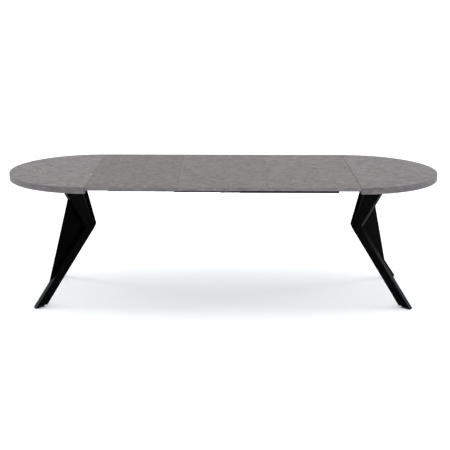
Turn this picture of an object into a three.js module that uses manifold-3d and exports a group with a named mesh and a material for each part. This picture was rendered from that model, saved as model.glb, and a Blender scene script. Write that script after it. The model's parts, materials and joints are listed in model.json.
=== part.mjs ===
// Extendable round dining table, opened to its full length with three leaves in place.
// Millimetres. +X runs along the table's length, -Y is the front, +Z is up, the origin is on the floor.
import * as THREE from "three";
import { mergeVertices } from "three/addons/utils/BufferGeometryUtils.js";
import Module from "manifold-3d";

const wasm = await Module();
wasm.setup();

// Table top
const TABLE_DIAMETER = 1000;
const TABLE_HEIGHT = 750;
const LEAF_COUNT = 3;
const LEAF_WIDTH = 500;
const BOARD_THICKNESS = 18;
const RIM_DEPTH = 18;
const RIM_WIDTH = 60;
const EDGE_BAND_THICKNESS = 0.8;
const ARC_STEPS = 36;

// Clearances
const SEAM_GAP = 0.6;
const FIT_GAP = 0.3;
const RUNNING_GAP = 0.4;
const BORE_GAP = 0.08;

// Legs: flat box shapes, each in a vertical plane that runs out from the middle of its half's seam
const LEG_WIDTH = 28;
const LEG_ANGLE = Math.PI / 4;
const LEG_TOP_INNER = 160;
const LEG_TOP_OUTER = 280;
const KNEE_HEIGHT = 418.5;
const KNEE_INNER = 27;
const KNEE_OUTER = 92.5;
const KNEE_OUTER_RISE = 2.5;
const KNEE_CHAMFER = { out: 6.7, down: 13 };
const FOOT_INNER = 397.5;
const FOOT_OUTER = 470.5;
const HEEL_CHAMFER = { out: 6, up: 9 };
const PLATE_THICKNESS = 4;
const PLATE_OVERHANG = 8;
const PLATE_SETBACK = 9;
const GLIDE_THICKNESS = 3;
const GLIDE_INSET = 5;

// Slides: five members side by side, each a headed web
const MEMBER_REACH = 30;
const HEAD_HEIGHT = 31;
const HEAD_SPACE = 1;
const WEB_THICKNESS = 2;
const LEG_TO_SLIDE = 5;
const TONGUE_DROP = 12;
const TONGUE_REACH = 4;
const TONGUE_ROOT_HEIGHT = 5;
const TONGUE_TIP_HEIGHT = 8;
const OUTER_WEB_DROP = 11;
const RIM_TO_SLIDE = 3;

// Racks and pinions: punched strips at two levels, with small gears between them
const RACK_THICKNESS = 3;
const RACK_HEIGHT = 10;
const RACK_WINDOW_HEIGHT = 7.2;
const RACK_WINDOW_WIDTH = 7.2;
const RACK_DROP = 6;
const RACK_LEVEL_SPACE = 3;
const RACK_SPARE = 9;
const OVERTRAVEL = 20;
const PINION_TEETH = 8;
const PINION_RADIUS = 15.2;
const PINION_THICKNESS = 6;
const PINION_OFFSET = 14;
const TOOTH_TIP_RISE = 1.2;
const TOOTH_TIP_WIDTH = 3.4;
const TOOTH_ROOT_WIDTH = 5.4;
const AXLE_RADIUS = 3;
const AXLE_SIDES = 16;
const AXLE_GRIP = 10;
const AXLE_HEAD = { radius: 5.5, thickness: 1.5 };
const PINION_WINDOW_SPACE = 3;
const MID_WINDOW_LENGTH = 113;

// Heights and places worked out from the values above
const RADIUS = TABLE_DIAMETER / 2;
const OPEN_TRAVEL = (LEAF_COUNT * LEAF_WIDTH) / 2;
const STAGE = OPEN_TRAVEL / 2;
const MEMBER_LENGTH = LEAF_WIDTH + 2 * MEMBER_REACH;
const UNDERSIDE = TABLE_HEIGHT - BOARD_THICKNESS;
const HEAD_TOP = UNDERSIDE - FIT_GAP;
const HEAD_BOTTOM = HEAD_TOP - HEAD_HEIGHT;
const UPPER_LEVEL = HEAD_BOTTOM - RACK_DROP - RACK_HEIGHT / 2;
const LOWER_LEVEL = UPPER_LEVEL - RACK_HEIGHT - RACK_LEVEL_SPACE;
const WEB_BOTTOM = LOWER_LEVEL - RACK_HEIGHT / 2;
const LANE_PITCH = PINION_RADIUS + RACK_THICKNESS / 2 + FIT_GAP + WEB_THICKNESS / 2;
const HEAD_HALF = (LANE_PITCH - HEAD_SPACE) / 2;
const FIRST_LANE = (LEG_TOP_OUTER + LEG_WIDTH / 2) * Math.sin(LEG_ANGLE) + LEG_TO_SLIDE + HEAD_HALF;
const RACK_PITCH = (2 * Math.PI * PINION_RADIUS) / PINION_TEETH;
const TIP_RADIUS = PINION_RADIUS + TOOTH_TIP_RISE;
const ROOT_RADIUS = PINION_RADIUS - RACK_THICKNESS / 2 - 2 * FIT_GAP;

// Finishes
const FINISH = {
  top: { color: 0x8c8987, roughness: 0.55, metalness: 0 },
  leaf: { color: 0x8a8683, roughness: 0.55, metalness: 0 },
  core: { color: 0x3a2a26, roughness: 0.8, metalness: 0 },
  band: { color: 0x7a757a, roughness: 0.6, metalness: 0 },
  leg: { color: 0x0e0e0e, roughness: 0.6, metalness: 0 },
  plate: { color: 0x151515, roughness: 0.5, metalness: 0.6 },
  glide: { color: 0x1a1a1a, roughness: 0.8, metalness: 0 },
  slide: { color: 0x17181a, roughness: 0.4, metalness: 0.7 },
  rack: { color: 0x2a2c2f, roughness: 0.4, metalness: 0.8 },
  pinion: { color: 0x202022, roughness: 0.6, metalness: 0 },
  axle: { color: 0x8a8d90, roughness: 0.3, metalness: 0.9 },
};

const table = new THREE.Group();

function addMesh(parent, name, geometry, finish) {
  const mesh = new THREE.Mesh(geometry, new THREE.MeshStandardMaterial(FINISH[finish]));
  mesh.name = name;
  parent.add(mesh);
  return mesh;
}

// A closed geometry as a manifold solid
function solidOf(geometry) {
  const bare = geometry.index ? geometry.toNonIndexed() : geometry.clone();
  bare.deleteAttribute("normal");
  bare.deleteAttribute("uv");
  const merged = mergeVertices(bare, 1e-4);
  const mesh = new wasm.Mesh({
    numProp: 3,
    vertProperties: new Float32Array(merged.attributes.position.array),
    triVerts: new Uint32Array(merged.index.array),
  });
  return new wasm.Manifold(mesh);
}

// A manifold solid as a geometry with flat faces
function geometryOf(solid) {
  const mesh = solid.getMesh();
  const geometry = new THREE.BufferGeometry();
  geometry.setAttribute("position", new THREE.BufferAttribute(new Float32Array(mesh.vertProperties), 3));
  geometry.setIndex(new THREE.BufferAttribute(new Uint32Array(mesh.triVerts), 1));
  const flat = geometry.toNonIndexed();
  flat.computeVertexNormals();
  return flat;
}

// A box between two corners
function boxBetween(low, high) {
  const size = high.map((value, axis) => value - low[axis]);
  const middle = high.map((value, axis) => (value + low[axis]) / 2);
  return new THREE.BoxGeometry(...size).translate(...middle);
}

function shapeOf(points) {
  return new THREE.Shape(points.map(([x, y]) => new THREE.Vector2(x, y)));
}

// A flat outline given a thickness upwards from height z
function plateFrom(shape, z, thickness) {
  return new THREE.ExtrudeGeometry(shape, { depth: thickness, bevelEnabled: false, curveSegments: ARC_STEPS })
    .translate(0, 0, z);
}

// A Y-Z outline carried along X between two places
function barAlongX(points, start, end) {
  const turned = new THREE.Matrix4().makeBasis(
    new THREE.Vector3(0, 1, 0),
    new THREE.Vector3(0, 0, 1),
    new THREE.Vector3(1, 0, 0),
  );
  return new THREE.ExtrudeGeometry(shapeOf(points), { depth: end - start, bevelEnabled: false })
    .applyMatrix4(turned)
    .translate(start, 0, 0);
}

// An X-Z shape given a thickness along Y, from y upwards
function panelAlongY(shape, y, thickness) {
  return new THREE.ExtrudeGeometry(shape, { depth: thickness, bevelEnabled: false })
    .rotateX(Math.PI / 2)
    .translate(0, y + thickness, 0);
}

// Slide members in order across a bank, each with its station: steps of half a half's travel
const MEMBERS = [
  { name: "left_outer", station: -2 },
  { name: "left_middle", station: -1 },
  { name: "centre", station: 0 },
  { name: "right_middle", station: 1 },
  { name: "right_outer", station: 2 },
];

// Distance of a lane from the table's long centre line
function laneOf(index) {
  return FIRST_LANE + index * LANE_PITCH;
}

// Half tops -------------------------------------------------------------------------------------

function halfDisc(radius) {
  const shape = new THREE.Shape();
  shape.absarc(0, 0, radius, -Math.PI / 2, Math.PI / 2, false);
  shape.closePath();
  return shape;
}

function halfRing(outer, inner) {
  const shape = new THREE.Shape();
  shape.absarc(0, 0, outer, -Math.PI / 2, Math.PI / 2, false);
  shape.absarc(0, 0, inner, Math.PI / 2, -Math.PI / 2, true);
  shape.closePath();
  return shape;
}

// A rim with room cut for both slide banks, where they reach it
function clearOfSlides(rim, rimBottom) {
  const near = laneOf(0) - LANE_PITCH / 2 - RIM_TO_SLIDE;
  const far = laneOf(MEMBERS.length - 1) + LANE_PITCH / 2 + RIM_TO_SLIDE;
  const reach = MEMBER_LENGTH / 2 + RIM_TO_SLIDE;
  const front = boxBetween([-reach, -far, rimBottom - 1], [reach, -near, UNDERSIDE + 1]);
  const rear = boxBetween([-reach, near, rimBottom - 1], [reach, far, UNDERSIDE + 1]);
  return geometryOf(solidOf(rim).subtract(solidOf(front)).subtract(solidOf(rear)));
}

function addHalfTop(half, side) {
  const boardRadius = RADIUS - EDGE_BAND_THICKNESS - FIT_GAP;
  const bandInner = RADIUS - EDGE_BAND_THICKNESS;
  const rimBottom = UNDERSIDE - RIM_DEPTH;
  addMesh(half, `${side}_top_panel`, plateFrom(halfDisc(boardRadius), UNDERSIDE, BOARD_THICKNESS), "top");
  const ring = halfRing(boardRadius, boardRadius - RIM_WIDTH);
  const rim = clearOfSlides(plateFrom(ring, rimBottom, RIM_DEPTH - FIT_GAP), rimBottom);
  addMesh(half, `${side}_rim_doubler`, rim, "core");
  const band = halfRing(RADIUS, bandInner);
  addMesh(half, `${side}_edge_band`, plateFrom(band, rimBottom, RIM_DEPTH + BOARD_THICKNESS), "band");
}

// Legs ------------------------------------------------------------------------------------------

const PLATE_BOTTOM = HEAD_TOP - PLATE_THICKNESS;
const LEG_TOP = PLATE_BOTTOM - FIT_GAP;
const LEG_BOTTOM = GLIDE_THICKNESS + FIT_GAP;

function legShape() {
  return shapeOf([
    [LEG_TOP_INNER, LEG_TOP],
    [KNEE_INNER, KNEE_HEIGHT],
    [KNEE_INNER + KNEE_CHAMFER.out, KNEE_HEIGHT - KNEE_CHAMFER.down],
    [FOOT_INNER - HEEL_CHAMFER.out, LEG_BOTTOM + HEEL_CHAMFER.up],
    [FOOT_INNER, LEG_BOTTOM],
    [FOOT_OUTER, LEG_BOTTOM],
    [KNEE_OUTER, KNEE_HEIGHT + KNEE_OUTER_RISE],
    [LEG_TOP_OUTER, LEG_TOP],
  ]);
}

// Each leg stands in its own group, turned about the middle of the half's seam
function addLeg(half, name, angle) {
  const stand = new THREE.Group();
  stand.rotation.z = angle;
  half.add(stand);
  addMesh(stand, `${name}_leg`, panelAlongY(legShape(), -LEG_WIDTH / 2, LEG_WIDTH), "leg");
  const plateHalf = LEG_WIDTH / 2 + PLATE_OVERHANG;
  const plate = boxBetween(
    [LEG_TOP_INNER - PLATE_SETBACK, -plateHalf, PLATE_BOTTOM],
    [LEG_TOP_OUTER - PLATE_SETBACK, plateHalf, HEAD_TOP],
  );
  addMesh(stand, `${name}_leg_plate`, plate, "plate");
  const glideHalf = LEG_WIDTH / 2 - GLIDE_INSET;
  const glide = boxBetween(
    [FOOT_INNER + GLIDE_INSET, -glideHalf, 0],
    [FOOT_OUTER - GLIDE_INSET, glideHalf, GLIDE_THICKNESS],
  );
  addMesh(stand, `${name}_foot_glide`, glide, "glide");
}

function addHalf(side, turn, legs) {
  const half = new THREE.Group();
  half.position.x = OPEN_TRAVEL * Math.cos(turn);
  half.rotation.z = turn;
  table.add(half);
  addHalfTop(half, side);
  addLeg(half, legs.clockwise, -LEG_ANGLE);
  addLeg(half, legs.anticlockwise, LEG_ANGLE);
}

addHalf("right", 0, { clockwise: "front_right", anticlockwise: "rear_right" });
addHalf("left", Math.PI, { clockwise: "rear_left", anticlockwise: "front_left" });

// Leaves ----------------------------------------------------------------------------------------

for (let index = 0; index < LEAF_COUNT; index += 1) {
  const left = -OPEN_TRAVEL + index * LEAF_WIDTH;
  const leaf = boxBetween(
    [left + SEAM_GAP / 2, -RADIUS, UNDERSIDE],
    [left + LEAF_WIDTH - SEAM_GAP / 2, RADIUS, TABLE_HEIGHT],
  );
  addMesh(table, `leaf_${index + 1}`, leaf, "leaf");
}

// Slides ----------------------------------------------------------------------------------------

// Half the height of the tongue, or of a groove round it, at a distance from the tongue's root
function tongueHalfHeight(distance) {
  const reach = HEAD_SPACE + TONGUE_REACH;
  return (TONGUE_ROOT_HEIGHT + ((TONGUE_TIP_HEIGHT - TONGUE_ROOT_HEIGHT) * distance) / reach) / 2;
}

// Outline of one member about its lane, as [across, up]; bankSide is -1 at the front and 1 at the rear
function memberOutline(index, bankSide) {
  const webHalf = WEB_THICKNESS / 2;
  const outermost = index === 0 || index === MEMBERS.length - 1;
  const webBottom = outermost ? HEAD_BOTTOM - OUTER_WEB_DROP : WEB_BOTTOM;
  const tongueZ = HEAD_TOP - TONGUE_DROP;
  const points = [
    [-webHalf, webBottom],
    [webHalf, webBottom],
    [webHalf, HEAD_BOTTOM],
    [HEAD_HALF, HEAD_BOTTOM],
  ];
  if (index < MEMBERS.length - 1) {
    const reach = HEAD_SPACE + TONGUE_REACH;
    points.push([HEAD_HALF, tongueZ - tongueHalfHeight(0)]);
    points.push([HEAD_HALF + reach, tongueZ - tongueHalfHeight(reach)]);
    points.push([HEAD_HALF + reach, tongueZ + tongueHalfHeight(reach)]);
    points.push([HEAD_HALF, tongueZ + tongueHalfHeight(0)]);
  }
  points.push([HEAD_HALF, HEAD_TOP], [-HEAD_HALF, HEAD_TOP]);
  if (index > 0) {
    const depth = TONGUE_REACH + RUNNING_GAP;
    const mouth = tongueHalfHeight(HEAD_SPACE) + RUNNING_GAP;
    const floor = tongueHalfHeight(HEAD_SPACE + depth) + RUNNING_GAP;
    points.push([-HEAD_HALF, tongueZ + mouth]);
    points.push([-HEAD_HALF + depth, tongueZ + floor]);
    points.push([-HEAD_HALF + depth, tongueZ - floor]);
    points.push([-HEAD_HALF, tongueZ - mouth]);
  }
  points.push([-HEAD_HALF, HEAD_BOTTOM], [-webHalf, HEAD_BOTTOM]);
  return points.map(([across, up]) => [bankSide * across, up]);
}

// Where a member's pinion stands along it: none on the outer members
function pinionPlace(station) {
  return station * PINION_OFFSET;
}

function pinionLevel(station) {
  return station === 0 ? LOWER_LEVEL : UPPER_LEVEL;
}

// The opening in a member's web that its pinion turns in
function pinionWindow(station) {
  const half = TIP_RADIUS + PINION_WINDOW_SPACE;
  const place = pinionPlace(station);
  const ends = [place - half, place + half];
  if (station > 0) ends[1] = ends[0] + MID_WINDOW_LENGTH;
  if (station < 0) ends[0] = ends[1] - MID_WINDOW_LENGTH;
  const bottom = station === 0 ? WEB_BOTTOM - 1 : UPPER_LEVEL - RACK_HEIGHT / 2 - RACK_LEVEL_SPACE / 2;
  return boxBetween([ends[0], -WEB_THICKNESS, bottom], [ends[1], WEB_THICKNESS, HEAD_BOTTOM]);
}

function axleHole(station) {
  const radius = AXLE_RADIUS + FIT_GAP;
  const depth = AXLE_GRIP + FIT_GAP;
  return new THREE.CylinderGeometry(radius, radius, 2 * depth, AXLE_SIDES)
    .rotateX(Math.PI / 2)
    .translate(pinionPlace(station), 0, HEAD_BOTTOM);
}

function memberGeometry(index, bankSide) {
  const { station } = MEMBERS[index];
  const half = MEMBER_LENGTH / 2;
  const bar = solidOf(barAlongX(memberOutline(index, bankSide), -half, half));
  if (Math.abs(station) === 2) return geometryOf(bar);
  return geometryOf(bar.subtract(solidOf(pinionWindow(station))).subtract(solidOf(axleHole(station))));
}

// A punched strip from start to end along its member, with windows in step with one on meshPlace.
// A window that an end cuts stays open, so that the pinion runs up to the end.
function rackGeometry(start, end, meshPlace, level) {
  const half = RACK_THICKNESS / 2;
  const low = level - RACK_HEIGHT / 2;
  const high = level + RACK_HEIGHT / 2;
  const windowHalf = RACK_WINDOW_WIDTH / 2;
  const first = Math.ceil((start - windowHalf - meshPlace) / RACK_PITCH);
  const last = Math.floor((end + windowHalf - meshPlace) / RACK_PITCH);
  let strip = solidOf(boxBetween([start, -half, low], [end, half, high]));
  for (let count = first; count <= last; count += 1) {
    const middle = meshPlace + count * RACK_PITCH;
    const hole = boxBetween(
      [middle - windowHalf, -RACK_THICKNESS, level - RACK_WINDOW_HEIGHT / 2],
      [middle + windowHalf, RACK_THICKNESS, level + RACK_WINDOW_HEIGHT / 2],
    );
    strip = strip.subtract(solidOf(hole));
  }
  return geometryOf(strip);
}

// A rack on one member that meshes with the pinion of the next member across, towards (facing 1) or away
function addRack(bank, bankName, bankSide, index, facing) {
  const own = MEMBERS[index];
  const mate = MEMBERS[index + facing];
  const rest = (mate.station - own.station) * STAGE + pinionPlace(mate.station);
  const closed = pinionPlace(mate.station);
  const outward = Math.sign(rest - closed);
  const farEnd = rest + outward * (OVERTRAVEL / 2 + RACK_SPARE);
  const nearEnd = closed - outward * RACK_SPARE;
  const ends = [farEnd, nearEnd].sort((a, b) => a - b);
  const geometry = rackGeometry(ends[0], ends[1], rest, pinionLevel(mate.station));
  const name = own.station === 0 ? `centre_${facing < 0 ? "left" : "right"}` : own.name;
  const rack = addMesh(bank, `${bankName}_${name}_rack`, geometry, "rack");
  const standOff = WEB_THICKNESS / 2 + FIT_GAP + RACK_THICKNESS / 2;
  rack.position.set(own.station * STAGE, bankSide * (laneOf(index) + facing * standOff), 0);
}

// A spur pinion with straight-sided teeth, one of them pointing along +Y
function pinionGeometry() {
  const rootTurn = Math.asin(TOOTH_ROOT_WIDTH / 2 / ROOT_RADIUS);
  const tipTurn = Math.asin(TOOTH_TIP_WIDTH / 2 / TIP_RADIUS);
  const points = [];
  for (let tooth = 0; tooth < PINION_TEETH; tooth += 1) {
    const middle = Math.PI / 2 + (tooth * 2 * Math.PI) / PINION_TEETH;
    const corners = [
      [ROOT_RADIUS, -rootTurn],
      [TIP_RADIUS, -tipTurn],
      [TIP_RADIUS, tipTurn],
      [ROOT_RADIUS, rootTurn],
    ];
    corners.forEach(([radius, turn]) => {
      points.push([radius * Math.cos(middle + turn), radius * Math.sin(middle + turn)]);
    });
  }
  const shape = shapeOf(points);
  const boreRadius = (AXLE_RADIUS + BORE_GAP) / Math.cos(Math.PI / AXLE_SIDES);
  const bore = new THREE.Path();
  for (let corner = 0; corner <= AXLE_SIDES; corner += 1) {
    const turn = (-corner * 2 * Math.PI) / AXLE_SIDES;
    const place = [boreRadius * Math.cos(turn), boreRadius * Math.sin(turn)];
    if (corner === 0) bore.moveTo(...place);
    else bore.lineTo(...place);
  }
  shape.holes.push(bore);
  return plateFrom(shape, -PINION_THICKNESS / 2, PINION_THICKNESS);
}

// A headed pin, from under the pinion up into the member's head
function axleGeometry(level) {
  const headTop = -PINION_THICKNESS / 2 - FIT_GAP;
  const shankTop = HEAD_BOTTOM + AXLE_GRIP - level;
  const profile = [
    [0, headTop - AXLE_HEAD.thickness],
    [AXLE_HEAD.radius, headTop - AXLE_HEAD.thickness],
    [AXLE_HEAD.radius, headTop],
    [AXLE_RADIUS, headTop],
    [AXLE_RADIUS, shankTop],
    [0, shankTop],
  ];
  return new THREE.LatheGeometry(profile.map(([radius, z]) => new THREE.Vector2(radius, z)), AXLE_SIDES)
    .rotateX(Math.PI / 2);
}

// A pinion and the axle that it turns on
function addPinion(bank, bankName, bankSide, index) {
  const { name, station } = MEMBERS[index];
  const level = pinionLevel(station);
  const unit = new THREE.Group();
  unit.position.set(station * STAGE + pinionPlace(station), bankSide * laneOf(index), level);
  bank.add(unit);
  addMesh(unit, `${bankName}_${name}_pinion`, pinionGeometry(), "pinion");
  addMesh(unit, `${bankName}_${name}_axle`, axleGeometry(level), "axle");
}

function addSlideBank(bankName, bankSide) {
  const bank = new THREE.Group();
  table.add(bank);
  MEMBERS.forEach(({ name, station }, index) => {
    const member = addMesh(bank, `${bankName}_${name}_slide`, memberGeometry(index, bankSide), "slide");
    member.position.set(station * STAGE, bankSide * laneOf(index), 0);
    if (Math.abs(station) < 2) addPinion(bank, bankName, bankSide, index);
  });
  addRack(bank, bankName, bankSide, 0, 1);
  addRack(bank, bankName, bankSide, 1, 1);
  addRack(bank, bankName, bankSide, 2, -1);
  addRack(bank, bankName, bankSide, 2, 1);
  addRack(bank, bankName, bankSide, 3, -1);
  addRack(bank, bankName, bankSide, 4, -1);
}

addSlideBank("front", -1);
addSlideBank("rear", 1);

export default table;
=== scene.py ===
"""Looks for an extendable dining table: grey laminate boards, black bent legs and geared slides."""
import json
import math

import bpy
import numpy as np
from mathutils import Matrix, Vector


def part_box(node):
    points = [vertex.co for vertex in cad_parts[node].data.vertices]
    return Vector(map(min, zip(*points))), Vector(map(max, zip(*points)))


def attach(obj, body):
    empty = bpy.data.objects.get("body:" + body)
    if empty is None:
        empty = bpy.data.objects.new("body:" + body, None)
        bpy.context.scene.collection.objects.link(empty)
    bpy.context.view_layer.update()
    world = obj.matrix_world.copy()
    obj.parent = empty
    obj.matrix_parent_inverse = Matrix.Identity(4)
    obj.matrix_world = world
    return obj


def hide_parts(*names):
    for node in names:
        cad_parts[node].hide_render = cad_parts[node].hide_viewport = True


bl_info = {
    "name": "Extendable dining table",
    "version": (1, 0, 0),
    "blender": (4, 5, 0),
    "location": "3D View > Sidebar > Table",
    "description": "Builds the boards, legs, slides and hardware of an extendable dining table",
    "category": "Object",
}

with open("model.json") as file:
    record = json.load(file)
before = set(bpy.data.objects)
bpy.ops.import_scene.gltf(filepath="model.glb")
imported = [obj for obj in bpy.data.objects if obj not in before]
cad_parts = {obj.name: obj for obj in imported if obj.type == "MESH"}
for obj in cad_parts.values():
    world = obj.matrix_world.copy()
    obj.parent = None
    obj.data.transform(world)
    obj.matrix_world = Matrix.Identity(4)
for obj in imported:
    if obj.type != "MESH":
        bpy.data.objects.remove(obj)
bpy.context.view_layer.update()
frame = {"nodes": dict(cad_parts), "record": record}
NODES = frame["nodes"]
NODE_BODY = {node: body for body, nodes in frame["record"]["behaviour"]["bodies"].items() for node in nodes}
MM = 0.001

SIDES = {"left": -1, "right": 1}  # each side's direction along X
BANKS = ("front", "rear")
CORNERS = [(bank, side) for bank in BANKS for side in SIDES]

# How finely the surfaces are divided
CORNER_STEPS = 6  # round an outline's corner
DISC_CORNER_STEPS = 5  # round the corners of a half disc
RIM_STEPS = 240  # round a half circle
EDGE_TURN = np.linspace(0, math.pi / 2, 5)  # angles across a rounded edge
OUTLINE_SUPPORT = 0.6 * MM  # from a rounded corner to the point that keeps the straight flat
EDGE_SUPPORT = 0.5 * MM  # the same for a rounded edge

# Screw heads; their depths and radii are parts of the head's own rise and radius
DOME_SIDES = 16  # faces round a head
DOME_TURN = np.linspace(0, math.radians(62), 5)  # angles from a dome's foot to its shoulder
DOME_SKIRT = 0.3  # how far the head sinks into what it holds
RECESS_RADIUS = 0.35
RECESS_FLOOR = (0.9, 0.45)  # the floor's radius in parts of the recess's, and its height

# Boards
TOP, CORE, SHEET, PRINT = range(4)  # the order of a board's materials
SQUARE_ON = 0.7  # an outline's normal counts as along X past this
SEAM_SHADE_LEAN = 0.5  # the right half's painted seam shade is wider than the setting by this part, the left's narrower
HALF_TONE_STEP = 0.02  # the left half's laminate is this much lighter, the right's darker
LEAF_TONES = (0.94, 1.0, 1.07)  # each leaf's laminate against the leaf grey
LEAF_EDGING_TONES = (1.2, 1.3, 1.32)  # each leaf's edging against the edging grey

# Legs, plates and slides
LEG_END = 50 * MM  # a leg's corners nearer than this to its top or foot aren't its knee
PLATE_EDGE = 0.6 * MM  # rounding of a leg plate's edges
SCREW_COUNT = 4  # along a plate or an outer slide member
PLATE_SCREW_INSET = 3  # from a plate's end to its first screw, in screw radii with their margin
SLIDE_SCREW_INSETS = (30 * MM, 20 * MM)  # from the seam, and from the member's far end
SLIDE_SCREW_SIZE = 0.8  # against the plates' screws
MEMBER_FOOT = 1 * MM  # a slide member's web is what lies this close to its lowest point
MEMBER_HEAD = 5 * MM  # and its head is what stands further than this off its lane

# Lamps and camera, in metres except the sensor, which is in millimetres
TOP_LAMP = {"place": (0, -0.3, 4.2), "aim": (0, 0, 0.7), "size": (5.0, 3.0)}
SIDE_LAMP = {"place": (5.22, 1.13, 2.47), "aim": (1, -0.25, 0.2), "size": (1.2, 1.2)}  # for the right side
SENSOR_WIDTH = 36.0
CAMERA_REACH = 200.0


# Settings ---------------------------------------------------------------------------------------

def length(name, description, default):
    """A length setting in metres."""
    return bpy.props.FloatProperty(name=name, description=description, default=default, min=0, unit="LENGTH")


def angle(name, description, degrees):
    """An angle setting, with its default given in degrees."""
    return bpy.props.FloatProperty(
        name=name, description=description, default=math.radians(degrees), unit="ROTATION")


def amount(name, description, default, unit="NONE"):
    """A setting that can't be negative and isn't a length."""
    return bpy.props.FloatProperty(name=name, description=description, default=default, min=0, unit=unit)


def colour(name, description, default):
    """A colour setting, as linear red, green and blue."""
    return bpy.props.FloatVectorProperty(
        name=name, description=description, default=default, size=3, min=0, max=1, subtype="COLOR")


class TABLE_PG_boards(bpy.types.PropertyGroup):
    """Sizes and colours of the half tops and leaves."""
    edge_radius: length("Edge radius", "Rounding of the half tops' edging", 0.8 * MM)
    seam_radius: length("Seam radius", "Rounding of the half tops' and leaves' own edges", 0.5 * MM)
    corner_radius: length("Corner radius", "Rounding of the boards' corners seen from above", 1.4 * MM)
    # Seam shade: the width of painted shade along the half tops' seams, a dark line on their laminate where
    # the gaps between boards fall in shade
    seam_shade: length("Cut edge", "Dark cut edge of the half tops' laminate at their seams", 1.5 * MM)
    band_fit: length("Band fit", "Gap left between a half top and its edging", 0.02 * MM)
    half_grey: colour("Half top grey", "Laminate on the half tops", (0.119, 0.107, 0.105))
    leaf_grey: colour("Leaf grey", "Laminate on the leaves", (0.105, 0.092, 0.087))
    band_grey: colour("Edging grey", "Edging of the half tops and leaves", (0.114, 0.104, 0.108))
    core_brown: colour("Core brown", "Cut core of the boards", (0.055, 0.036, 0.030))
    backing_grey: colour("Backing grey", "Backing sheet under the boards", (0.100, 0.095, 0.092))


class TABLE_PG_legs(bpy.types.PropertyGroup):
    """Sizes and colours of the legs and feet."""
    edge_radius: length("Edge radius", "Rounding along the legs' long edges", 1.6 * MM)
    corner_radius: length("Corner radius", "Rounding of the legs' corners seen from the side", 1.6 * MM)
    lacquer: colour("Lacquer", "Black lacquer on the legs", (0.0010, 0.0010, 0.0010))
    glide_radius: length("Glide radius", "Rounding of the foot glides", 1.0 * MM)
    glide_black: colour("Glide black", "Moulded foot glides", (0.012, 0.012, 0.012))


class TABLE_PG_hardware(bpy.types.PropertyGroup):
    """Sizes and colours of the slides, racks, plates and screws."""
    screw_radius: length("Screw radius", "Radius of a screw's head", 3.0 * MM)
    screw_rise: length("Screw rise", "How far a screw's head stands out", 1.3 * MM)
    screw_margin: length("Screw margin", "Metal left outside a screw's head", 1.0 * MM)
    head_screw_offset: length("Head screw offset", "Screws' distance from a slide's web", 4.8 * MM)
    plate_corner: length("Plate corner", "Rounding of the leg plates' corners", 8 * MM)
    slide_black: colour("Slide black", "Anodised slide members", (0.003, 0.003, 0.0033))
    rack_steel: colour("Rack steel", "Blackened rack strips", (0.035, 0.035, 0.038))
    zinc: colour("Zinc", "Zinc-plated screws", (0.42, 0.42, 0.43))
    pinion_black: colour("Pinion black", "Moulded pinions", (0.022, 0.022, 0.024))
    plate_black: colour("Plate black", "Powder-coated leg plates", (0.010, 0.010, 0.010))


class TABLE_PG_stage(bpy.types.PropertyGroup):
    """The floor, the lights and the camera."""
    floor_size: length("Floor size", "Side of the floor", 60.0)
    camera_place: bpy.props.FloatVectorProperty(
        name="Camera place", description="Where the camera stands",
        default=(0.021, -5.911, 1.917), unit="LENGTH")
    camera_pitch: angle("Camera pitch", "How far the camera looks down", 14.258)
    camera_yaw: angle("Camera yaw", "How far the camera turns right", -0.105)
    camera_roll: angle("Camera roll", "How far the camera leans left", 0.118)
    lens: amount("Lens", "Focal length in millimetres", 81.8)
    floor_white: colour("Floor white", "The pale floor", (0.98, 0.98, 0.98))
    backdrop_strength: amount("Backdrop strength", "White seen behind the object", 1.3)
    sky_tint: colour("Sky tint", "Colour of the even light", (0.97, 0.985, 1.0))
    sky_strength: amount("Sky strength", "Even light on everything", 1.42)
    lamp_tint: colour("Lamp tint", "Colour of the side soft boxes", (0.82, 0.92, 1.0))
    top_power: amount("Top power", "Overhead soft box in watts", 16, "POWER")
    side_power: amount("Side power", "Each side soft box in watts", 42, "POWER")


# Surfaces ---------------------------------------------------------------------------------------

def new_mesh_object(name, points, faces, materials, face_materials, smooth):
    """A mesh object at the origin from points and faces; smooth and face_materials are per face."""
    mesh = bpy.data.meshes.new(name)
    mesh.from_pydata(np.asarray(points).tolist(), [], faces)
    for material in materials:
        mesh.materials.append(material)
    mesh.polygons.foreach_set("material_index", np.asarray(face_materials, np.int32))
    mesh.polygons.foreach_set("use_smooth", np.asarray(smooth, bool))
    mesh.update()
    piece = bpy.data.objects.new(name, mesh)
    bpy.context.scene.collection.objects.link(piece)
    return piece


def ring_quads(ring_count, point_count):
    """Quads between each ring of points and the next, as an array of index rows."""
    ring = np.arange(ring_count - 1)[:, None] * point_count
    here = np.arange(point_count)[None, :]
    ahead = (here + 1) % point_count
    above = ring + point_count
    return np.stack([ring + here, ring + ahead, above + ahead, above + here], axis=-1).reshape(-1, 4)


def capped_tube(ring_count, point_count):
    """The quads between rings of points and then one face that closes each end, and the count of quads."""
    quads = ring_quads(ring_count, point_count).tolist()
    first = list(range(point_count))[::-1]
    last = list(range((ring_count - 1) * point_count, ring_count * point_count))
    return quads + [first, last], len(quads)


def arc(centre, radius, start, end, steps):
    """Points and outward normals on an arc: the centre plus the radius times cosine and sine of the angle."""
    turn = np.linspace(start, end, steps + 1)
    normal = np.stack([np.cos(turn), np.sin(turn)], axis=-1)
    return np.asarray(centre) + radius * normal, normal


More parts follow.
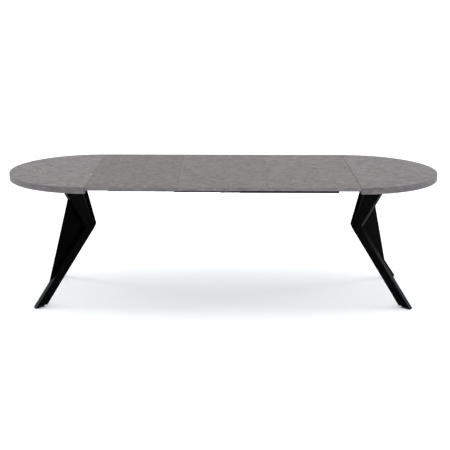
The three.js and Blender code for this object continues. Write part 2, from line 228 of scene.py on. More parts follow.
def rounded_outline(corners, radius):
    """A closed anticlockwise outline with each corner rounded.

    At a corner the rounding's centre lies on both edges' inward offsets, and its arc turns from one edge's
    normal to the next; a point just before and after each arc keeps the straight stretches flat.
    """
    corners = np.asarray(corners, float)
    points, normals = [], []
    before = np.roll(corners, 1, axis=0)
    after = np.roll(corners, -1, axis=0)
    for previous, corner, following in zip(before, corners, after):
        arrive = (corner - previous) / np.linalg.norm(corner - previous)
        leave = (following - corner) / np.linalg.norm(following - corner)
        normal_in = np.array([arrive[1], -arrive[0]])
        normal_out = np.array([leave[1], -leave[0]])
        turn = math.atan2(arrive[0] * leave[1] - arrive[1] * leave[0], arrive @ leave)
        sign = 1 if turn > 0 else -1
        reach = radius * math.tan(abs(turn) / 2)
        centre = corner - arrive * reach - sign * radius * normal_in
        start = math.atan2(*(sign * normal_in)[::-1])
        bend, bend_normals = arc(centre, radius, start, start + turn, CORNER_STEPS)
        points += [bend[0] - arrive * OUTLINE_SUPPORT, *bend, bend[-1] + leave * OUTLINE_SUPPORT]
        normals += [normal_in, *(sign * bend_normals), normal_out]
    return np.array(points), np.array(normals)


def slab(name, outline, low, high, radius, place, materials, side=0, bottom=0):
    """A plate with the outline's shape and rounded edges, from height low to high along its third axis.

    Each ring is the outline drawn in along its normals: by the radius times one minus the sine of an angle,
    at a height of the radius times one minus the cosine. place turns (u, v, height) arrays into X, Y, Z.
    The top takes the first material. side is one material number, or one for each point of the outline.
    """
    points, normals = outline
    lift = np.concatenate([[0], radius * (1 - np.cos(EDGE_TURN)), [radius + EDGE_SUPPORT]])
    inset = np.concatenate([[radius + EDGE_SUPPORT], radius * (1 - np.sin(EDGE_TURN)), [0]])
    heights = np.concatenate([low + lift, high - lift[::-1]])
    insets = np.concatenate([inset, inset[::-1]])
    flat = points[None, :, :] - insets[:, None, None] * normals[None, :, :]
    height = np.broadcast_to(heights[:, None], flat.shape[:2])
    cloud = place(flat[..., 0], flat[..., 1], height).reshape(-1, 3)
    rings, count = flat.shape[:2]
    faces, quad_count = capped_tube(rings, count)
    ring_of = np.arange(quad_count) // count
    side_of = np.broadcast_to(side, (rings - 1, count)).ravel()
    face_materials = np.where(ring_of == 0, bottom, np.where(ring_of == rings - 2, TOP, side_of))
    face_materials = np.concatenate([face_materials, [bottom, TOP]])
    smooth = np.arange(len(faces)) < quad_count
    return new_mesh_object(name, cloud, faces, materials, face_materials, smooth)


def upright(u, v, height):
    """u, v and height as X, Y and Z."""
    return np.stack([u, v, height], axis=-1)


def grid(along, rows):
    """Every pairing of two lists of values, as two flat arrays."""
    return (values.ravel() for values in np.meshgrid(along, rows))


def screw_heads(name, centres, radius, rise, material):
    """Round screw heads that face down from the centres, each a dome of revolution with a shallow recess.

    Around the axis the angle runs full circle; along the profile the radius falls as a cosine while the
    height grows as a sine, and the innermost rings sink to make the recess.
    """
    turn = np.linspace(0, 2 * math.pi, DOME_SIDES, endpoint=False)
    floor_radius, floor_rise = RECESS_FLOOR
    out = np.concatenate([[1.0], np.cos(DOME_TURN), [RECESS_RADIUS, RECESS_RADIUS * floor_radius]])
    up = np.concatenate([[-DOME_SKIRT], np.sin(DOME_TURN) / np.sin(DOME_TURN[-1]), [1.0, floor_rise]])
    axis = Vector((0, 0, -1))
    first = axis.orthogonal().normalized()
    axis, first, second = (np.array(v) for v in (axis, first, axis.cross(first)))
    around = np.cos(turn)[:, None] * first + np.sin(turn)[:, None] * second
    one = radius * out[:, None, None] * around[None] + rise * up[:, None, None] * axis
    rings, count = one.shape[:2]
    centres = np.asarray(centres, float)
    cloud = (centres[:, None, :] + one.reshape(1, -1, 3)).reshape(-1, 3)
    quads = ring_quads(rings, count)
    base = (np.arange(len(centres)) * rings * count)[:, None, None]
    all_quads = (quads[None] + base).reshape(-1, 4).tolist()
    ends = np.stack([np.arange(count)[::-1], np.arange((rings - 1) * count, rings * count)])
    caps = (ends[None] + base).reshape(-1, count).tolist()
    faces = all_quads + caps
    smooth = np.concatenate([np.ones(len(all_quads), bool), np.zeros(len(caps), bool)])
    return new_mesh_object(name, cloud, faces, [material], np.zeros(len(faces)), smooth)


def about(seam, sign):
    """Half-round coordinates turned to stand on one side of a seam."""
    return lambda u, v, height: np.stack([seam + sign * u, sign * v, height], axis=-1)


def half_disc(radius, corner):
    """A half circle closed by a straight edge on u = 0, with its two corners rounded.

    Each corner's circle touches the straight edge and the big circle from inside, so its centre is the
    corner's radius from the edge and that much short of the big radius from the middle.
    """
    middle = math.sqrt((radius - corner) ** 2 - corner ** 2)
    lean = math.asin(corner / (radius - corner))
    lower = arc((corner, -middle), corner, -math.pi, lean - math.pi / 2, DISC_CORNER_STEPS)
    edge = arc((0, 0), radius, lean - math.pi / 2, math.pi / 2 - lean, RIM_STEPS)
    upper = arc((corner, middle), corner, math.pi / 2 - lean, math.pi, DISC_CORNER_STEPS)
    straight = np.array([[0, middle - OUTLINE_SUPPORT], [0, OUTLINE_SUPPORT - middle]])
    points = np.concatenate([lower[0], edge[0][1:-1], upper[0], straight])
    normals = np.concatenate([lower[1], edge[1][1:-1], upper[1], [[-1.0, 0.0]] * 2])
    return points, normals


def bent_strip(name, radius, thickness, span, edge, place, material):
    """A strip bent round a half circle.

    Its section is upright with two rounded outer corners, and is carried along the arc: the distance from
    the arc's middle times the cosine and sine of the angle.
    """
    low, high = span
    turn = np.linspace(-math.pi / 2, math.pi / 2, RIM_STEPS + 1)
    falling = thickness - edge * (1 - np.sin(np.append(EDGE_TURN, math.pi / 2)))
    out = np.concatenate([[0, 0], falling, falling[::-1]])
    drop = np.append(edge * (1 - np.cos(EDGE_TURN)), edge + EDGE_SUPPORT)
    up = np.concatenate([[low, high], high - drop, low + drop[::-1]])
    distance = radius - thickness + out[None, :]
    u = distance * np.cos(turn)[:, None]
    v = distance * np.sin(turn)[:, None]
    height = np.broadcast_to(up[None, :], u.shape)
    rings, count = u.shape
    faces, quad_count = capped_tube(rings, count)
    smooth = np.concatenate([np.arange(quad_count) % count > 1, [False, False]])
    cloud = place(u, v, height).reshape(-1, 3)
    return new_mesh_object(name, cloud, faces, [material], np.zeros(len(faces)), smooth)


def node_points(node):
    """A CAD node's corners as an array."""
    mesh = NODES[node].data
    points = np.empty(len(mesh.vertices) * 3)
    mesh.vertices.foreach_get("co", points)
    return points.reshape(-1, 3)


def member_lines(node):
    """A slide member's lane, which is the middle of its web, and the height of its head's underside."""
    points = node_points(node)
    web = points[points[:, 2] < points[:, 2].min() + MEMBER_FOOT]
    lane = (web[:, 1].min() + web[:, 1].max()) / 2
    wide = np.abs(points[:, 1] - lane) > MEMBER_HEAD
    return lane, points[wide, 2].min()


def rectangle(u, v):
    """The corners of the box round some values, anticlockwise."""
    return [(u.min(), v.min()), (u.max(), v.min()), (u.max(), v.max()), (u.min(), v.max())]


class LegPlane:
    """The upright plane that one leg lies in.

    reach runs outwards from the seam's middle, and across runs sideways.
    """

    def __init__(self, bank, side):
        low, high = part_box(f"{side}_top_panel")
        glide_low, glide_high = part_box(f"{bank}_{side}_foot_glide")
        self.origin = np.array([low.x if SIDES[side] > 0 else high.x, 0.0])
        foot = np.array([(glide_low.x + glide_high.x) / 2, (glide_low.y + glide_high.y) / 2]) - self.origin
        self.out = foot / np.linalg.norm(foot)
        self.left = np.array([-self.out[1], self.out[0]])

    def measure(self, node):
        """A node's reach, across and height values, point by point."""
        points = node_points(node)
        flat = points[:, :2] - self.origin
        return flat @ self.out, flat @ self.left, points[:, 2]

    def level(self, reach, across, height):
        """Turns plan shapes into X, Y and Z."""
        flat = self.origin + reach[..., None] * self.out + across[..., None] * self.left
        return np.concatenate([flat, height[..., None]], axis=-1)

    def on_edge(self, reach, height, across):
        """Turns shapes drawn from the side into X, Y and Z; across runs to the right here."""
        return self.level(reach, -across, height)

    @staticmethod
    def side_corners(reach, height):
        """The corners of a leg seen from the side, in order of angle about the middle of its knee."""
        corners = np.unique(np.round(np.stack([reach, height], axis=-1), 5), axis=0)
        inner = corners[np.argmin(corners[:, 0])]
        level = corners[:, 1]
        knee = corners[(level >= level.min() + LEG_END) & (level <= level.max() - LEG_END)]
        outer = knee[np.argmax(knee[:, 0])]
        middle = (inner + outer) / 2
        turn = np.arctan2(level - middle[1], corners[:, 0] - middle[0])
        return corners[np.argsort(turn)]

    def pad(self, name, node, corner, edge, material):
        """A flat plate in a node's place, with its corners and edges rounded."""
        reach, across, height = self.measure(node)
        outline = rounded_outline(rectangle(reach, across), corner)
        return slab(name, outline, height.min(), height.max(), edge, self.level, [material])


def finish_piece(piece, node, slot, *replaced):
    """Has a piece ride with a CAD node's body and stand for the nodes it replaces, which it hides; slot is
    not used.
    """
    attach(piece, NODE_BODY[node])
    if replaced:
        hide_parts(*replaced)


# Materials --------------------------------------------------------------------------------------

MIX_COLOURS = (6, 7)  # the colour sockets of a Mix node
MIX_RESULT = 2
LACQUER_DUST = (0.02, 0.02, 0.021)
RUBBED_ALUMINIUM = (0.015, 0.015, 0.016)
PLASTIC_DUST = (0.05, 0.05, 0.05)


class Shader:
    """A material's node tree, with short calls for the nodes that this file uses."""

    def __init__(self, name, roughness, metallic=0.0, specular=0.5):
        self.material = bpy.data.materials.new(name)
        self.material.use_nodes = True
        self.tree = self.material.node_tree
        self.surface = self.tree.nodes["Principled BSDF"]
        self.surface.inputs["Roughness"].default_value = roughness
        self.surface.inputs["Metallic"].default_value = metallic
        self.surface.inputs["Specular IOR Level"].default_value = specular
        self.place = self.tree.nodes.new("ShaderNodeTexCoord").outputs["Object"]

    def node(self, kind, **values):
        """A new node with the values given, each an attribute of it or a socket's name."""
        made = self.tree.nodes.new(kind)
        for key, value in values.items():
            if hasattr(made, key):
                setattr(made, key, value)
            else:
                self.feed(made.inputs[key.replace("_", " ")], value)
        return made

    def feed(self, socket, value):
        """Links a node's output to the socket, or sets the socket's own value."""
        if isinstance(value, bpy.types.NodeSocket):
            self.tree.links.new(value, socket)
        else:
            socket.default_value = value

    def moved(self, shift=(0, 0, 0), turn=(0, 0, 0), scale=(1, 1, 1)):
        """Object coordinates shifted, turned and scaled."""
        made = self.node("ShaderNodeMapping")
        self.feed(made.inputs["Vector"], self.place)
        for key, value in (("Location", shift), ("Rotation", turn), ("Scale", scale)):
            made.inputs[key].default_value = value
        return made.outputs["Vector"]

    def noise(self, where, scale, detail=4.0, roughness=0.55, distortion=0.0):
        """Cloudy noise from 0 to 1."""
        made = self.node("ShaderNodeTexNoise", Vector=where, Scale=scale, Detail=detail,
                         Roughness=roughness, Distortion=distortion)
        return made.outputs["Fac"]

    def span(self, value, low, high, out_low=0.0, out_high=1.0):
        """value carried from the range low to high onto out_low to out_high, and held there."""
        made = self.node("ShaderNodeMapRange", Value=value)
        for key, number in (("From Min", low), ("From Max", high), ("To Min", out_low), ("To Max", out_high)):
            made.inputs[key].default_value = number
        return made.outputs["Result"]

    def maths(self, operation, first, second=0.5):
        """One arithmetic operation."""
        made = self.node("ShaderNodeMath", operation=operation)
        self.feed(made.inputs[0], first)
        self.feed(made.inputs[1], second)
        return made.outputs["Value"]

    def mix(self, part, first, second):
        """Two colours mixed: none of the second at 0, all of it at 1."""
        made = self.node("ShaderNodeMix", data_type="RGBA")
        self.feed(made.inputs["Factor"], part)
        for number, value in zip(MIX_COLOURS, (first, second)):
            is_link = isinstance(value, bpy.types.NodeSocket)
            self.feed(made.inputs[number], value if is_link else (*value, 1.0))
        return made.outputs[MIX_RESULT]

    def tones(self, value, low, high, rgb, dark, light):
        """A colour that goes from one shade of rgb to another as value goes from low to high."""
        return self.mix(self.span(value, low, high), shade(rgb, dark), shade(rgb, light))

    def veil(self, tone, value, low, high, most, rgb):
        """tone with more and more of a colour over it, up to most, as value goes from low to high."""
        return self.mix(self.span(value, low, high, 0.0, most), tone, rgb)

    def marks(self, tone, mask, strength, rgb):
        """tone with a colour over it where the mask is 1, as strongly as said."""
        return self.mix(self.maths("MULTIPLY", mask, strength), tone, rgb)

    def colour(self, value):
        """Gives the surface its colour."""
        self.feed(self.surface.inputs["Base Color"], value)

    def roughness(self, value, low, high, out_low, out_high):
        """Has the surface's roughness go from out_low to out_high as value goes from low to high."""
        self.feed(self.surface.inputs["Roughness"], self.span(value, low, high, out_low, out_high))

    def bump(self, height, distance, strength=1.0):
        """A small relief, with its depth in metres."""
        made = self.node("ShaderNodeBump", Height=height)
        made.inputs["Distance"].default_value = distance
        made.inputs["Strength"].default_value = strength
        self.feed(self.surface.inputs["Normal"], made.outputs["Normal"])


def shade(rgb, factor):
    """A colour made lighter or darker."""
    return tuple(min(1.0, part * factor) for part in rgb)


def cracks(shader, where, scale, width):
    """Fine branching lines: the borders of warped cells, 1 on a line and 0 away from it."""
    warp = shader.node("ShaderNodeTexNoise", Vector=where, Scale=scale * 1.7, Detail=5.0)
    pushed = shader.node("ShaderNodeVectorMath", operation="MULTIPLY_ADD")
    shader.feed(pushed.inputs[0], warp.outputs["Color"])
    pushed.inputs[1].default_value = (0.55 / scale,) * 3
    shader.feed(pushed.inputs[2], where)
    cells = shader.node("ShaderNodeTexVoronoi", feature="DISTANCE_TO_EDGE", Scale=scale)
    shader.feed(cells.inputs["Vector"], pushed.outputs["Vector"])
    return shader.span(cells.outputs["Distance"], 0.0, width, 1.0, 0.0)


def laminate(name, grey, shift, turn, seam_shade=None):
    """Stone-look laminate: wide clouds, close mottling, short dark flecks, pale cracks and a fine grain.

    The last argument is an X and a width: painted shade of the seam's gap, a dark line on the laminate up to
    that far from that X.
    """
    shader = Shader(name, roughness=0.5, specular=0.11)
    where = shader.moved(shift=shift, turn=(0, 0, turn))
    clouds = shader.noise(where, 3.2, detail=3.0, roughness=0.5, distortion=0.6)
    mottle = shader.noise(where, 30.0, detail=7.0, roughness=0.7, distortion=0.8)
    grain = shader.noise(where, 170.0, detail=3.0, roughness=0.6)
    base = shader.tones(clouds, 0.32, 0.68, grey, dark=0.93, light=1.06)
    mottled = shader.tones(mottle, 0.36, 0.65, grey, dark=0.32, light=1.78)
    tone = shader.mix(0.85, base, mottled)
    specks = shader.noise(where, 52.0, detail=5.0, roughness=0.7, distortion=1.4)
    flecks = shader.span(specks, 0.32, 0.44, 1.0, 0.0)
    tone = shader.marks(tone, flecks, 0.7, shade(grey, 0.42))
    gate = shader.span(shader.noise(where, 2.6, detail=1.0), 0.50, 0.60)
    lines = shader.maths("MULTIPLY", cracks(shader, where, 3.4, 0.010), gate)
    tone = shader.marks(tone, lines, 0.8, shade(grey, 2.1))
    thin_gate = shader.span(shader.noise(where, 4.1, detail=1.0), 0.52, 0.62)
    thin = shader.maths("MULTIPLY", cracks(shader, where, 9.0, 0.016), thin_gate)
    tone = shader.marks(tone, thin, 0.5, shade(grey, 1.7))
    tone = shader.veil(tone, grain, 0.3, 0.7, 0.16, shade(grey, 1.4))
    # Painted shade: near the seam the laminate turns almost black, standing in for the shade in the gap
    # between the boards
    if seam_shade:
        seam, width = seam_shade
        axes = shader.node("ShaderNodeSeparateXYZ", Vector=shader.place)
        away = shader.maths("ABSOLUTE", shader.maths("SUBTRACT", axes.outputs["X"], seam))
        tone = shader.mix(shader.span(away, 0.7 * width, width, 1.0, 0.0), tone, shade(grey, 0.12))
    shader.colour(tone)
    shader.roughness(mottle, 0.3, 0.7, 0.44, 0.60)
    raised, sunk = shader.maths("MULTIPLY", grain, 0.6), shader.maths("MULTIPLY", flecks, -0.3)
    shader.bump(shader.maths("ADD", raised, sunk), 0.12 * MM, 0.5)
    return shader.material


def edging(name, grey, shift):
    """Plastic edging printed like the laminate: streaks along the edge, pale scuffs and fine dark grain."""
    shader = Shader(name, roughness=0.55, specular=0.2)
    where = shader.moved(shift=shift, scale=(1, 1, 3.5))
    streaks = shader.noise(where, 22.0, detail=6.0, roughness=0.65, distortion=0.7)
    fine = shader.noise(where, 120.0, detail=3.0)
    tone = shader.tones(streaks, 0.36, 0.64, grey, dark=0.73, light=1.25)
    scuffs = shader.span(shader.noise(where, 9.0, detail=7.0, roughness=0.75), 0.56, 0.68)
    tone = shader.marks(tone, scuffs, 0.5, shade(grey, 1.7))
    shader.colour(shader.veil(tone, fine, 0.3, 0.7, 0.2, shade(grey, 0.7)))
    shader.roughness(fine, 0.3, 0.7, 0.48, 0.62)
    shader.bump(streaks, 0.08 * MM, 0.4)
    return shader.material


def board_core(name, brown):
    """Cut chipboard core: pressed chips in dark reddish brown, dusted paler and rough all over."""
    shader = Shader(name, roughness=0.85, specular=0.1)
    chips = shader.node("ShaderNodeTexVoronoi", Scale=420.0)
    shader.feed(chips.inputs["Vector"], shader.moved(scale=(1, 1, 2.4)))
    tint = shader.node("ShaderNodeSeparateColor")
    shader.feed(tint.inputs["Color"], chips.outputs["Color"])
    dust = shader.noise(shader.place, 900.0, detail=3.0)
    tone = shader.mix(tint.outputs["Red"], shade(brown, 0.55), shade(brown, 1.6))
    shader.colour(shader.veil(tone, dust, 0.3, 0.7, 0.4, shade(brown, 2.1)))
    shader.bump(chips.outputs["Distance"], 0.3 * MM, 0.6)
    return shader.material


def backing(name, grey):
    """Backing sheet under a board: a plain grey paper with long faint fibres and dusty patches."""
    shader = Shader(name, roughness=0.7, specular=0.2)
    fibres = shader.noise(shader.moved(scale=(1, 9, 1)), 60.0, detail=5.0)
    dust = shader.noise(shader.place, 4.0, detail=6.0, roughness=0.7)
    tone = shader.tones(fibres, 0.35, 0.65, grey, dark=0.85, light=1.12)
    shader.colour(shader.veil(tone, dust, 0.45, 0.75, 0.3, shade(grey, 1.5)))
    shader.bump(fibres, 0.05 * MM, 0.5)
    return shader.material


def lacquer(name, black):
    """Satin black lacquer: a soft orange-peel surface, slight sheen changes and a few dusty specks."""
    shader = Shader(name, roughness=0.16, specular=0.019)
    peel = shader.noise(shader.place, 260.0, detail=2.0, roughness=0.4)
    cloud = shader.noise(shader.place, 7.0, detail=4.0, roughness=0.6)
    specks = shader.span(shader.noise(shader.place, 640.0, detail=1.0), 0.74, 0.80)
    tone = shader.mix(shader.span(cloud, 0.35, 0.7), black, shade(black, 1.5))
    shader.colour(shader.marks(tone, specks, 0.3, LACQUER_DUST))
    shader.roughness(cloud, 0.3, 0.7, 0.13, 0.19)
    shader.bump(peel, 0.05 * MM, 0.25)
    return shader.material


def powder_coat(name, black):
    """Black powder coat: a close pebbled skin, duller in the hollows."""
    shader = Shader(name, roughness=0.5, specular=0.3)
    pebble = shader.noise(shader.place, 700.0, detail=2.0)
    shader.colour(shader.tones(pebble, 0.35, 0.65, black, dark=0.7, light=1.6))
    shader.roughness(pebble, 0.3, 0.7, 0.58, 0.42)
    shader.bump(pebble, 0.1 * MM, 0.6)
    return shader.material


def anodised(name, black):
    """Black anodised extrusion: fine drawing lines along its length, rubbed paler in patches."""
    shader = Shader(name, roughness=0.42, specular=0.05)
    lines = shader.noise(shader.moved(scale=(0.02, 1, 1)), 900.0, detail=3.0)
    wear = shader.noise(shader.place, 14.0, detail=6.0, roughness=0.7)
    tone = shader.tones(lines, 0.3, 0.7, black, dark=0.7, light=1.5)
    shader.colour(shader.marks(tone, shader.span(wear, 0.58, 0.75), 0.4, RUBBED_ALUMINIUM))
    shader.roughness(wear, 0.3, 0.7, 0.48, 0.32)
    shader.bump(lines, 0.03 * MM, 0.5)
    return shader.material


def bare_metal(name, metal, roughness):
    """Plated or blackened steel: brushed lines, mottled plating and darker stains."""
    shader = Shader(name, roughness=roughness, metallic=1.0)
    lines = shader.noise(shader.moved(scale=(0.06, 1, 1)), 1100.0, detail=3.0)
    stain = shader.noise(shader.place, 55.0, detail=6.0, roughness=0.7)
    tone = shader.tones(lines, 0.3, 0.7, metal, dark=0.75, light=1.25)
    shader.colour(shader.veil(tone, stain, 0.5, 0.72, 0.55, shade(metal, 0.4)))
    shader.roughness(stain, 0.3, 0.7, roughness * 0.8, roughness * 1.35)
    shader.bump(lines, 0.02 * MM, 0.4)
    return shader.material


def moulded(name, black, roughness=0.55):
    """Black moulded plastic: a fine spark texture with dull, dusty patches."""
    shader = Shader(name, roughness=roughness, specular=0.4)
    spark = shader.noise(shader.place, 1400.0, detail=2.0)
    dust = shader.noise(shader.place, 30.0, detail=5.0)
    tone = shader.tones(spark, 0.3, 0.7, black, dark=0.7, light=1.4)
    shader.colour(shader.veil(tone, dust, 0.5, 0.8, 0.25, PLASTIC_DUST))
    shader.roughness(dust, 0.3, 0.7, roughness * 0.9, roughness * 1.2)
    shader.bump(spark, 0.05 * MM, 0.5)
    return shader.material


def made_once(name, make, *values):
    """The material with this name, made now if it isn't there yet."""
    return bpy.data.materials.get(name) or make(name, *values)


def core_and_sheet(boards):
    """The chipboard core and the backing sheet, which all the boards share."""
    return (made_once("board_core", board_core, boards.core_brown),
            made_once("backing_sheet", backing, boards.backing_grey))


def screw_zinc(hardware):
    """The zinc plating that all the screws share."""
    return made_once("screw_zinc", bare_metal, hardware.zinc, 0.34)


def paint_nodes(ending, material):
    """Gives every CAD node whose name ends so the material."""
    found = [piece for node, piece in NODES.items() if node.endswith(ending)]
    if not found:
        raise RuntimeError(f"no node's name ends in {ending}")
    for piece in found:
        piece.data.materials.clear()
        piece.data.materials.append(material)


# Operators --------------------------------------------------------------------------------------

class TABLE_OT_half_tops(bpy.types.Operator):
    """Makes both half-round tops with their edging, and paints the doublers below them"""
    bl_idname = "table.half_tops"
    bl_label = "Half tops"
    bl_options = {"REGISTER", "UNDO"}

    def execute(self, context):
        boards = context.scene.table_boards
        core, sheet = core_and_sheet(boards)
        for side, sign in SIDES.items():
            low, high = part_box(f"{side}_top_panel")
            band_low, band_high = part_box(f"{side}_edge_band")
            seam = high.x if sign < 0 else low.x
            thickness = band_high.y - high.y - boards.band_fit
            tone = shade(boards.half_grey, 1 - HALF_TONE_STEP * sign)
            # painted shade along the seam, wider on the right half than on the left
            seam_shade = (seam, boards.seam_shade * (1 + SEAM_SHADE_LEAN * sign))
            grey = laminate(f"{side}_laminate", tone, shift=(3.1 * sign, 1.7, 0), turn=0.4 * sign,
                            seam_shade=seam_shade)
            print_grey = edging(f"{side}_edging_print", boards.band_grey, shift=(0.6 * sign, 0, 0))
            place = about(seam, sign)
            inner = band_high.y - thickness - boards.band_fit
            outline = half_disc(inner, boards.corner_radius)
            faces = np.where(outline[1][:, 0] < -SQUARE_ON, CORE, PRINT)
            board = slab(f"{side}_half_board", outline, low.z, high.z, boards.seam_radius, place,
                         [grey, core, sheet, print_grey], side=faces, bottom=SHEET)
            finish_piece(board, f"{side}_top_panel", "top_laminate", f"{side}_top_panel")
            strip = bent_strip(f"{side}_edging", band_high.y, thickness, (band_low.z, band_high.z),
                               boards.edge_radius, place, print_grey)
            finish_piece(strip, f"{side}_edge_band", "edge_band", f"{side}_edge_band")
        paint_nodes("_rim_doubler", core)
        return {"FINISHED"}


class TABLE_OT_leaves(bpy.types.Operator):
    """Makes the leaves, edged all round but for cut ends where the outer two meet the half tops"""
    bl_idname = "table.leaves"
    bl_label = "Leaves"
    bl_options = {"REGISTER", "UNDO"}

    def execute(self, context):
        boards = context.scene.table_boards
        leaves = sorted(node for node in NODES if node.startswith("leaf_"))
        core, sheet = core_and_sheet(boards)
        for count, node in enumerate(leaves):
            low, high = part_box(node)
            tone = shade(boards.leaf_grey, LEAF_TONES[count % len(LEAF_TONES)])
            grey = laminate(f"{node}_laminate", tone, shift=(1.3 + 2.3 * count, -2.1 * count, 0),
                            turn=0.9 + 1.1 * count)
            print_tone = shade(boards.band_grey, LEAF_EDGING_TONES[count % len(LEAF_EDGING_TONES)])
            print_grey = edging(f"{node}_edging_print", print_tone, shift=(1.1 * count, 0, 0))
            corners = [(low.x, low.y), (high.x, low.y), (high.x, high.y), (low.x, high.y)]
            points, normals = rounded_outline(corners, boards.corner_radius)
            at_left = (normals[:, 0] < -SQUARE_ON) & (count == 0)
            at_right = (normals[:, 0] > SQUARE_ON) & (count == len(leaves) - 1)
            faces = np.where(at_left | at_right, CORE, PRINT)
            board = slab(f"{node}_board", (points, normals), low.z, high.z, boards.seam_radius, upright,
                         [grey, core, sheet, print_grey], side=faces, bottom=SHEET)
            finish_piece(board, node, "leaf_laminate", node)
        return {"FINISHED"}


class TABLE_OT_legs(bpy.types.Operator):
    """Makes the four bent legs with rounded edges, and the glides under their feet"""
    bl_idname = "table.legs"
    bl_label = "Legs and glides"
    bl_options = {"REGISTER", "UNDO"}

    def execute(self, context):
        legs = context.scene.table_legs
        black = lacquer("leg_lacquer", legs.lacquer)
        plastic = moulded("glide_plastic", legs.glide_black)
        for bank, side in CORNERS:
            name = f"{bank}_{side}"
            stand = LegPlane(bank, side)
            reach, across, height = stand.measure(f"{name}_leg")
            outline = rounded_outline(stand.side_corners(reach, height), legs.corner_radius)
            leg = slab(f"{name}_leg_body", outline, across.min(), across.max(), legs.edge_radius,
                       stand.on_edge, [black])
            finish_piece(leg, f"{name}_leg", "leg_lacquer", f"{name}_leg")
            foot = f"{name}_foot_glide"
            glide = stand.pad(f"{name}_glide_pad", foot, 3 * legs.glide_radius, legs.glide_radius, plastic)
            finish_piece(glide, foot, "glide_plastic", foot)
        return {"FINISHED"}


class TABLE_OT_leg_plates(bpy.types.Operator):
    """Makes the steel plates on top of the legs, with their screws"""
    bl_idname = "table.leg_plates"
    bl_label = "Leg plates"
    bl_options = {"REGISTER", "UNDO"}

    def execute(self, context):
        hardware = context.scene.table_hardware
        coat = powder_coat("plate_coat", hardware.plate_black)
        zinc = screw_zinc(hardware)
        edge = hardware.screw_radius + hardware.screw_margin
        end = PLATE_SCREW_INSET * edge
        for bank, side in CORNERS:
            name, node = f"{bank}_{side}", f"{bank}_{side}_leg_plate"
            stand = LegPlane(bank, side)
            plate = stand.pad(f"{name}_plate", node, hardware.plate_corner, PLATE_EDGE, coat)
            finish_piece(plate, node, "plate_steel", node)
            reach, across, height = stand.measure(node)
            along = np.linspace(reach.min() + end, reach.max() - end, SCREW_COUNT)
            u, v = grid(along, [across.min() + edge, across.max() - edge])
            centres = stand.level(u, v, np.full_like(u, height.min()))
            screws = screw_heads(f"{name}_plate_screws", centres, hardware.screw_radius,
                                 hardware.screw_rise, zinc)
            finish_piece(screws, node, "axle_steel")
        return {"FINISHED"}


class TABLE_OT_slides(bpy.types.Operator):
    """Paints the slide members, racks and pinions, and adds the outer members' screws; axles stay plain"""
    bl_idname = "table.slides"
    bl_label = "Slides"
    bl_options = {"REGISTER", "UNDO"}

    def execute(self, context):
        hardware = context.scene.table_hardware
        paint_nodes("_slide", anodised("slide_anodised", hardware.slide_black))
        paint_nodes("_rack", bare_metal("rack_steel", hardware.rack_steel, roughness=0.42))
        paint_nodes("_pinion", moulded("pinion_nylon", hardware.pinion_black, roughness=0.45))
        zinc = screw_zinc(hardware)
        radius, rise = hardware.screw_radius * SLIDE_SCREW_SIZE, hardware.screw_rise * SLIDE_SCREW_SIZE
        offset = hardware.head_screw_offset
        for bank, side in CORNERS:
            sign = SIDES[side]
            node = f"{bank}_{side}_outer_slide"
            inner, outer = (0, 1) if sign > 0 else (1, 0)
            seam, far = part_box(f"{side}_top_panel")[inner].x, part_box(node)[outer].x
            first, last = (sign * inset for inset in SLIDE_SCREW_INSETS)
            lane, under = member_lines(node)
            u, v = grid(np.linspace(seam + first, far - last, SCREW_COUNT), [lane - offset, lane + offset])
            screws = screw_heads(f"{node}_screws", upright(u, v, np.full_like(u, under)), radius, rise, zinc)
            finish_piece(screws, node, "axle_steel")
        return {"FINISHED"}


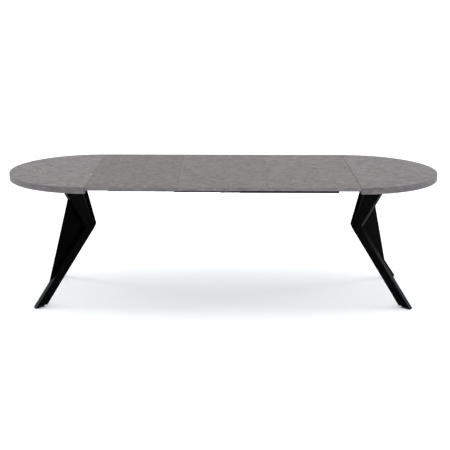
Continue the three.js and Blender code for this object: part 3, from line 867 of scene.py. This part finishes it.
class TABLE_OT_stage(bpy.types.Operator):
    """Lays a plain pale floor, and sets soft studio lights and the camera"""
    bl_idname = "table.stage"
    bl_label = "Stage"
    bl_options = {"REGISTER", "UNDO"}

    def execute(self, context):
        scene = context.scene
        stage = scene.table_stage
        half = stage.floor_size / 2
        corners = np.array([(-half, -half, 0), (half, -half, 0), (half, half, 0), (-half, half, 0)])
        paper = Shader("floor_paper", roughness=0.9, specular=0.05)
        paper.colour((*stage.floor_white, 1.0))
        floor = new_mesh_object("floor", corners, [[0, 1, 2, 3]], [paper.material], [0], [False])
        self.sky(scene, stage)
        self.soft_box("top_light", TOP_LAMP, 1, stage.top_power, (1, 1, 1))
        for side, sign in SIDES.items():
            self.soft_box(f"{side}_light", SIDE_LAMP, sign, stage.side_power, stage.lamp_tint)
        camera = bpy.data.cameras.new("camera")
        camera.lens = stage.lens
        camera.sensor_width = SENSOR_WIDTH
        camera.clip_end = CAMERA_REACH
        holder = bpy.data.objects.new("camera", camera)
        scene.collection.objects.link(holder)
        holder.matrix_world = (
            Matrix.Translation(Vector(stage.camera_place))
            @ Matrix.Rotation(-stage.camera_yaw, 4, "Z")
            @ Matrix.Rotation(math.pi / 2 - stage.camera_pitch, 4, "X")
            @ Matrix.Rotation(stage.camera_roll, 4, "Z"))
        scene.camera = holder
        scene.view_settings.view_transform = "Standard"
        return {"FINISHED"}

    @staticmethod
    def sky(scene, stage):
        """White of one strength where the camera looks past the object, and even light of another on it."""
        world = bpy.data.worlds.new("studio")
        scene.world = world
        world.use_nodes = True
        tree = world.node_tree
        seen = tree.nodes["Background"]
        seen.inputs["Color"].default_value = (1, 1, 1, 1)
        seen.inputs["Strength"].default_value = stage.backdrop_strength
        lit = tree.nodes.new("ShaderNodeBackground")
        lit.inputs["Color"].default_value = (*stage.sky_tint, 1)
        lit.inputs["Strength"].default_value = stage.sky_strength
        path = tree.nodes.new("ShaderNodeLightPath")
        either = tree.nodes.new("ShaderNodeMixShader")
        tree.links.new(path.outputs["Is Camera Ray"], either.inputs[0])
        tree.links.new(lit.outputs[0], either.inputs[1])
        tree.links.new(seen.outputs[0], either.inputs[2])
        tree.links.new(either.outputs[0], tree.nodes["World Output"].inputs["Surface"])

    @staticmethod
    def soft_box(name, setup, sign, power, tint):
        """A rectangular lamp at its place, turned to its aim, with both mirrored in X where sign is -1."""
        place, aim = (Vector((sign * x, y, z)) for x, y, z in (setup["place"], setup["aim"]))
        lamp = bpy.data.lights.new(name, "AREA")
        lamp.shape = "RECTANGLE"
        lamp.size, lamp.size_y = setup["size"]
        lamp.energy = power
        lamp.color = tint
        holder = bpy.data.objects.new(name, lamp)
        turn = (aim - place).to_track_quat("-Z", "Y").to_matrix().to_4x4()
        holder.matrix_world = Matrix.Translation(place) @ turn
        bpy.context.scene.collection.objects.link(holder)


OPERATORS = (TABLE_OT_half_tops, TABLE_OT_leaves, TABLE_OT_legs, TABLE_OT_leg_plates, TABLE_OT_slides,
             TABLE_OT_stage)
GROUPS = {
    "table_boards": TABLE_PG_boards,
    "table_legs": TABLE_PG_legs,
    "table_hardware": TABLE_PG_hardware,
    "table_stage": TABLE_PG_stage,
}


class TABLE_PT_panel(bpy.types.Panel):
    """Lists the table's settings and the operators that build it"""
    bl_idname = "TABLE_PT_panel"
    bl_label = "Extendable table"
    bl_space_type = "VIEW_3D"
    bl_region_type = "UI"
    bl_category = "Table"

    def draw(self, context):
        for group_name, group in GROUPS.items():
            box = self.layout.box()
            for setting in group.__annotations__:
                box.prop(getattr(context.scene, group_name), setting)
        for operator in OPERATORS:
            self.layout.operator(operator.bl_idname)


def register():
    """Adds the settings, the operators and the panel."""
    for cls in (*GROUPS.values(), *OPERATORS, TABLE_PT_panel):
        bpy.utils.register_class(cls)
    for name, group in GROUPS.items():
        setattr(bpy.types.Scene, name, bpy.props.PointerProperty(type=group))


def unregister():
    """Takes them away again, in the opposite order."""
    for name in GROUPS:
        delattr(bpy.types.Scene, name)
    for cls in (TABLE_PT_panel, *reversed(OPERATORS), *reversed(GROUPS.values())):
        bpy.utils.unregister_class(cls)


def main():
    register()
    bpy.ops.table.stage()
    bpy.ops.table.half_tops()
    bpy.ops.table.leaves()
    bpy.ops.table.legs()
    bpy.ops.table.leg_plates()
    bpy.ops.table.slides()


if __name__ == "__main__":
    main()
